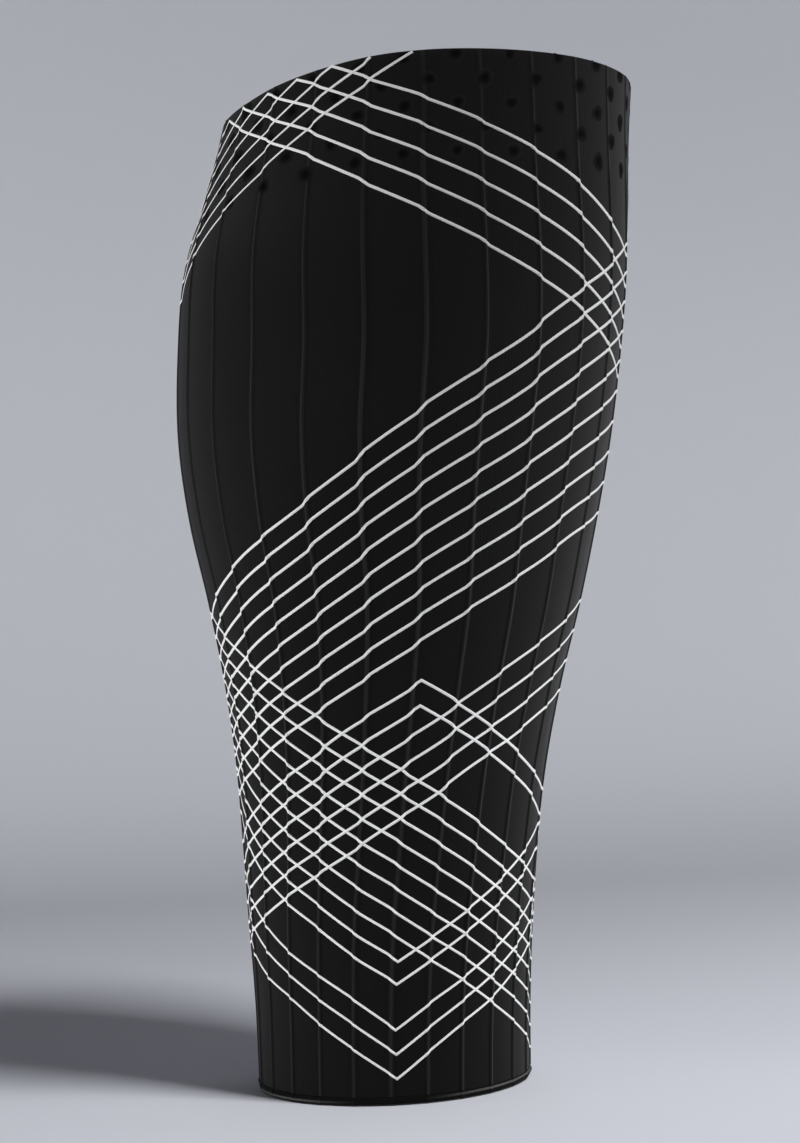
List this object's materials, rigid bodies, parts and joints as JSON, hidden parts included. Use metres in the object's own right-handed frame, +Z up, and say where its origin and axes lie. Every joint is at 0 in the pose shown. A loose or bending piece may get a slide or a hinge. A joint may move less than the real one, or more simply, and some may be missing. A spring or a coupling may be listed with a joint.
{
  "type": "leg sleeve",
  "caption": "Knit calf compression sleeve in its worn form, a ribbed tube that narrows to the ankle, with a band of grip dots inside the top edge and a rolled ankle hem.",
  "frame": {"origin": "centre of the ankle opening, on the leg's axis", "axes": "+Z up the leg from the ankle to the knee, -Y towards the shin, +Y towards the back of the calf"},
  "size_m": [0.1206, 0.13, 0.2838],
  "materials": {
    "ribbed_knit": "black ribbed knit with a soft sheen and thin white printed stripes",
    "grip_knit": "black knit with darker spots where the grip dots lie behind it",
    "hem_knit": "black rolled knit edge",
    "grip_dots": "clear-dark silicone, satin",
    "stripe_print": "flat off-white print on the knit"
  },
  "bodies": {
    "root": {"calf_tube": "ribbed_knit", "grip_band": "grip_knit", "ankle_hem": "hem_knit"}
  },
  "joints": []
}
